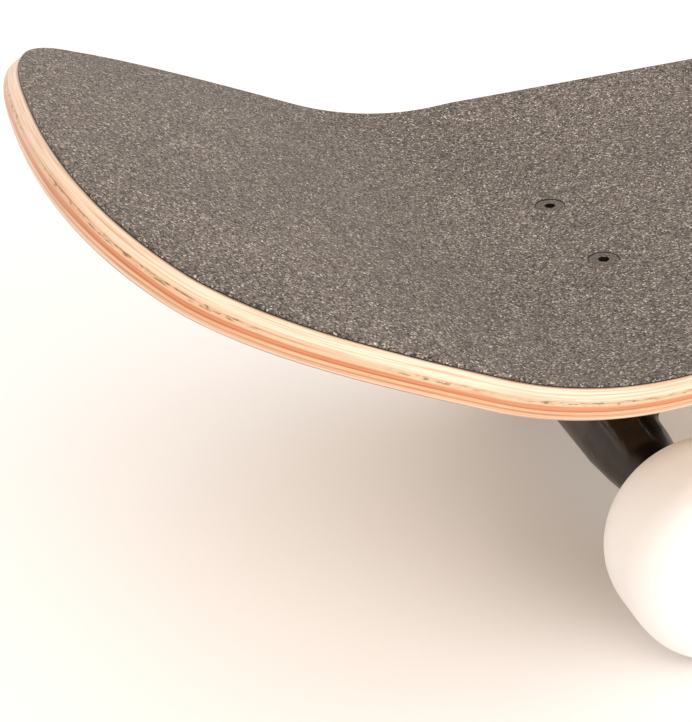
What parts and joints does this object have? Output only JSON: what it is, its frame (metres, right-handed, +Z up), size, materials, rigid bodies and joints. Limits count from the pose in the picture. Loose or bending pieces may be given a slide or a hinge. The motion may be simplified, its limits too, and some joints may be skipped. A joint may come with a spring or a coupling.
{
  "type": "skateboard",
  "caption": "Street skateboard with a kicked tail and nose, concave plywood deck under grit tape, steering trucks on rubber bushings and rolling urethane wheels.",
  "frame": {"origin": "middle of the overall box, on the floor the wheels stand on", "axes": "+X along the board from the kicktail to the nose, +Y across to the rider's left when facing the nose, +Z up from the floor"},
  "size_m": [0.7928, 0.209, 0.165],
  "materials": {
    "maple_deck": "seven-ply maple, clear lacquered, edge plies showing",
    "grip_tape": "black abrasive grit sheet, coarse and faintly sparkling",
    "black_bolt": "black oxide steel screws",
    "zinc_steel": "zinc plated steel nuts, washers, kingpin and axle",
    "truck_black": "cast aluminium, glossy black enamel",
    "pivot_urethane": "hard black urethane cup",
    "bushing_urethane": "translucent off-white urethane",
    "wheel_urethane": "off-white cast urethane, satin",
    "bearing_steel": "polished bearing steel with pressed shields"
  },
  "bodies": {
    "board": {"deck": "maple_deck", "grip_tape": "grip_tape", "mounting_bolt_tail_1": "black_bolt", "lock_nut_tail_1": "zinc_steel", "mounting_bolt_tail_2": "black_bolt", "lock_nut_tail_2": "zinc_steel", "mounting_bolt_tail_3": "black_bolt", "lock_nut_tail_3": "zinc_steel", "mounting_bolt_tail_4": "black_bolt", "lock_nut_tail_4": "zinc_steel", "mounting_bolt_nose_1": "black_bolt", "lock_nut_nose_1": "zinc_steel", "mounting_bolt_nose_2": "black_bolt", "lock_nut_nose_2": "zinc_steel", "mounting_bolt_nose_3": "black_bolt", "lock_nut_nose_3": "zinc_steel", "mounting_bolt_nose_4": "black_bolt", "lock_nut_nose_4": "zinc_steel", "baseplate_tail": "truck_black", "pivot_cup_tail": "pivot_urethane", "kingpin_tail": "zinc_steel", "kingpin_nut_tail": "zinc_steel", "board_washer_tail": "zinc_steel", "road_washer_tail": "zinc_steel", "board_bushing_tail": "bushing_urethane", "road_bushing_tail": "bushing_urethane", "baseplate_nose": "truck_black", "pivot_cup_nose": "pivot_urethane", "kingpin_nose": "zinc_steel", "kingpin_nut_nose": "zinc_steel", "board_washer_nose": "zinc_steel", "road_washer_nose": "zinc_steel", "board_bushing_nose": "bushing_urethane", "road_bushing_nose": "bushing_urethane"},
    "hanger_tail": {"hanger_tail": "truck_black", "axle_tail": "zinc_steel", "axle_nut_right_tail": "zinc_steel", "bearing_spacer_right_tail": "zinc_steel", "axle_nut_left_tail": "zinc_steel", "bearing_spacer_left_tail": "zinc_steel"},
    "wheel_right_tail": {"wheel_right_tail": "wheel_urethane", "bearing_inner_right_tail": "bearing_steel", "bearing_outer_right_tail": "bearing_steel"},
    "wheel_left_tail": {"wheel_left_tail": "wheel_urethane", "bearing_inner_left_tail": "bearing_steel", "bearing_outer_left_tail": "bearing_steel"},
    "hanger_nose": {"hanger_nose": "truck_black", "axle_nose": "zinc_steel", "axle_nut_right_nose": "zinc_steel", "bearing_spacer_right_nose": "zinc_steel", "axle_nut_left_nose": "zinc_steel", "bearing_spacer_left_nose": "zinc_steel"},
    "wheel_right_nose": {"wheel_right_nose": "wheel_urethane", "bearing_inner_right_nose": "bearing_steel", "bearing_outer_right_nose": "bearing_steel"},
    "wheel_left_nose": {"wheel_left_nose": "wheel_urethane", "bearing_inner_left_nose": "bearing_steel", "bearing_outer_left_nose": "bearing_steel"}
  },
  "joints": [
    {"name": "steer_tail", "type": "hinge", "parent": "board", "child": "hanger_tail", "pos_m": [-0.20215, 0, 0.05], "axis": [-0.93, 0, 0.3677], "range_deg": [-15, 15], "stiffness_Nm_per_rad": 60, "deforming": ["board_bushing_tail", "road_bushing_tail"]},
    {"name": "spin_right_tail", "type": "hinge", "parent": "hanger_tail", "child": "wheel_right_tail", "pos_m": [-0.23115, -0.083, 0.03], "axis": [0, 1, 0], "continuous": true},
    {"name": "spin_left_tail", "type": "hinge", "parent": "hanger_tail", "child": "wheel_left_tail", "pos_m": [-0.23115, 0.083, 0.03], "axis": [0, 1, 0], "continuous": true},
    {"name": "steer_nose", "type": "hinge", "parent": "board", "child": "hanger_nose", "pos_m": [0.19783, 0, 0.05], "axis": [0.93, 0, 0.3677], "range_deg": [-15, 15], "stiffness_Nm_per_rad": 60, "deforming": ["board_bushing_nose", "road_bushing_nose"]},
    {"name": "spin_right_nose", "type": "hinge", "parent": "hanger_nose", "child": "wheel_right_nose", "pos_m": [0.22683, -0.083, 0.03], "axis": [0, 1, 0], "continuous": true},
    {"name": "spin_left_nose", "type": "hinge", "parent": "hanger_nose", "child": "wheel_left_nose", "pos_m": [0.22683, 0.083, 0.03], "axis": [0, 1, 0], "continuous": true}
  ]
}
